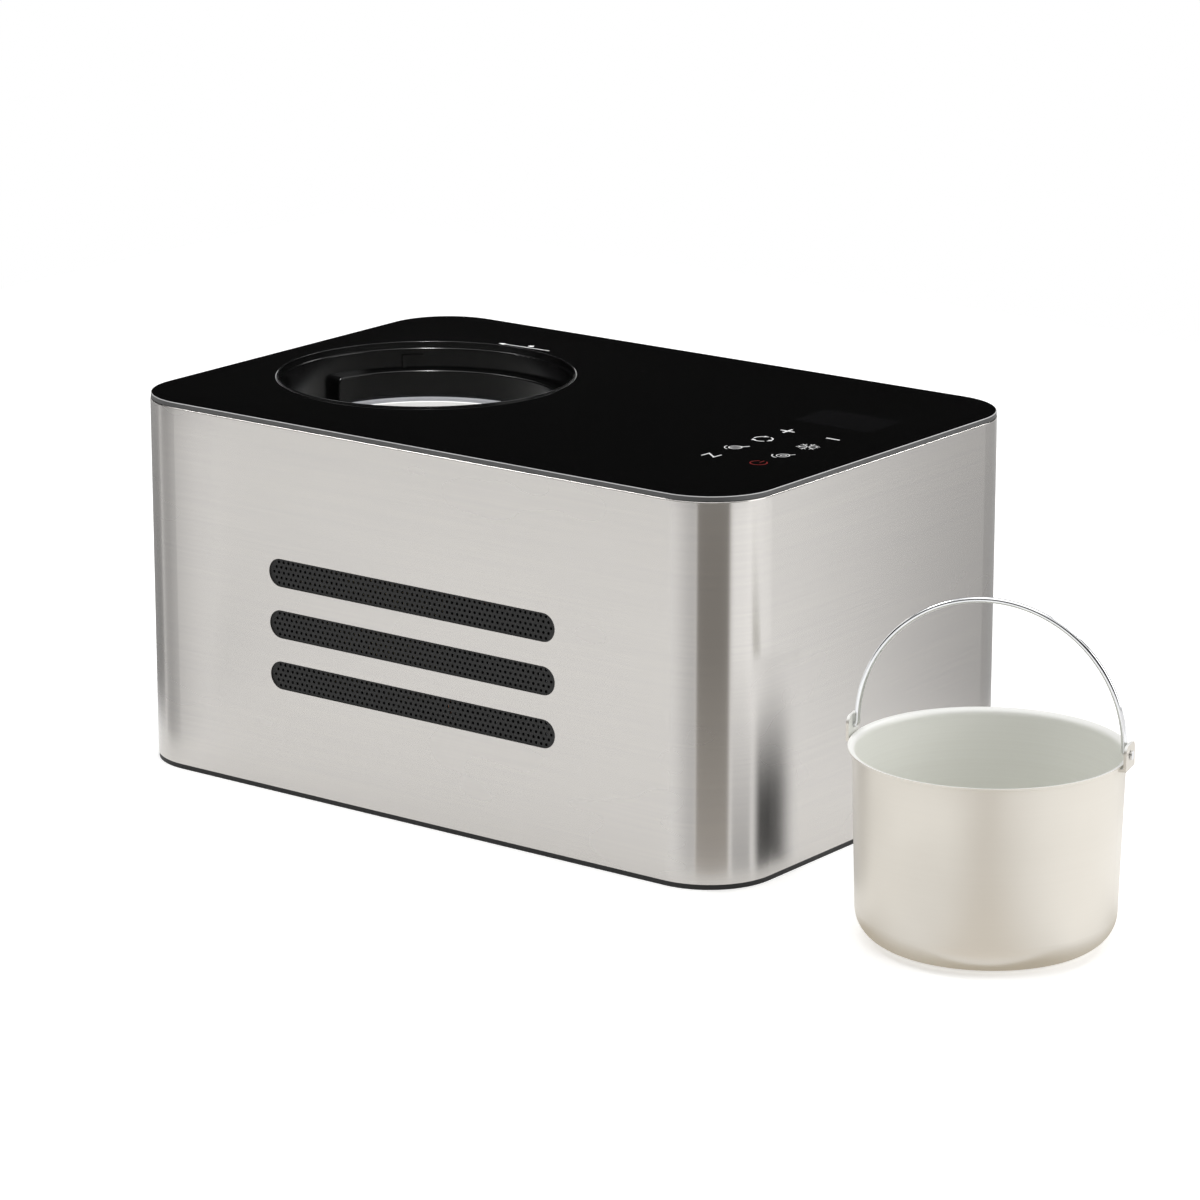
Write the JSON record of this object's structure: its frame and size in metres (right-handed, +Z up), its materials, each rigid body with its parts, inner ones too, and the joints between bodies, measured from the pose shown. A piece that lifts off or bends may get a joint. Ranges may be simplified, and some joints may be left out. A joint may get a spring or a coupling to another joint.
{
  "type": "ice cream maker",
  "caption": "Countertop ice cream maker with a brushed steel housing, black glass top and built-in cold well, and its lift-out bowl with a wire bail.",
  "frame": {"origin": "middle of the machine base's underside, on the floor", "axes": "+X along the machine's length towards the touch keys, -Y out of the front with the vents, +Z up"},
  "size_m": [0.6401, 0.3239, 0.2166],
  "materials": {
    "stainless_sleeve": "brushed along the length",
    "black_mesh": "perforated sheet, matt black",
    "black_glass": "black-backed, polished, ground edge",
    "black_plastic": "moulded, fine texture",
    "white_plastic": "moulded",
    "grey_rubber": "moulded",
    "black_rubber": "moulded",
    "bright_aluminium": "drawn, bright",
    "bowl_aluminium": "drawn, satin anodised",
    "fin_aluminium": "rolled foil",
    "bare_steel": "zinc-plated or stainless",
    "chromed_wire": "polished",
    "bare_brass": "nickel-plated blades",
    "copper_tube": "drawn copper",
    "black_paint": "black enamel",
    "foam_jacket": "rigid foam",
    "board_laminate": "laminate with lacquer",
    "board_parts": "moulded cases",
    "lead_sheath": "extruded sheath"
  },
  "bodies": {
    "machine": {"base_screws": "bare_steel", "base_tray": "black_plastic", "board_components": "board_parts", "board_standoffs": "white_plastic", "capillary_tube": "copper_tube", "chamber_liner": "bright_aluminium", "chamber_screws": "bare_steel", "chamber_seal": "grey_rubber", "chamber_sensor": "bare_steel", "collar_ring": "black_plastic", "compressor_base_plate": "black_paint", "compressor_bolts": "bare_steel", "compressor_grommets": "black_rubber", "compressor_lower_shell": "black_paint", "compressor_terminal_cover": "black_plastic", "compressor_upper_shell": "black_paint", "condenser_coil": "copper_tube", "condenser_end_plates": "bare_steel", "condenser_fins": "fin_aluminium", "discharge_line": "copper_tube", "display_module": "board_parts", "drier_clip": "bare_steel", "evaporator_coil": "copper_tube", "fan_frame": "black_plastic", "fan_screws": "bare_steel", "fan_shroud": "black_plastic", "fan_stator": "copper_tube", "filter_drier": "copper_tube", "foam_front": "foam_jacket", "foam_rear": "foam_jacket", "frame_screws": "bare_steel", "front_grille": "black_mesh", "inlet_pins": "bare_brass", "liquid_line": "copper_tube", "mains_inlet": "black_plastic", "partition_plate": "bare_steel", "power_board": "board_laminate", "power_transformer": "board_parts", "rear_grille": "black_plastic", "rubber_pads": "black_rubber", "steel_sleeve": "stainless_sleeve", "suction_line": "copper_tube", "tie_posts": "bare_steel", "top_frame": "black_plastic", "top_glass": "black_glass", "touch_board": "board_laminate", "touch_board_screws": "bare_steel", "touch_springs": "bare_steel", "well_stand": "white_plastic", "wiring_harness": "lead_sheath"},
    "fan": {"fan_rotor": "black_plastic"},
    "bowl": {"bowl": "bowl_aluminium", "bail_ear_left": "bare_steel", "bail_ear_right": "bare_steel"},
    "bail": {"bail_wire": "chromed_wire"}
  },
  "joints": [
    {"name": "fan_spin", "type": "hinge", "parent": "machine", "child": "fan", "pos_m": [0.0905, -0.073, 0.08013], "axis": [0, 1, 0], "continuous": true},
    {"name": "bowl_lift", "type": "slide", "parent": "machine", "child": "bowl", "axis": [0, 0, 1], "range_m": [0, 0.25]},
    {"name": "bail_swing", "type": "hinge", "parent": "bowl", "child": "bail", "pos_m": [0.3535, -0.107, 0.1063], "axis": [0.9622, 0.2723, 0], "range_deg": [-90, 90]}
  ]
}
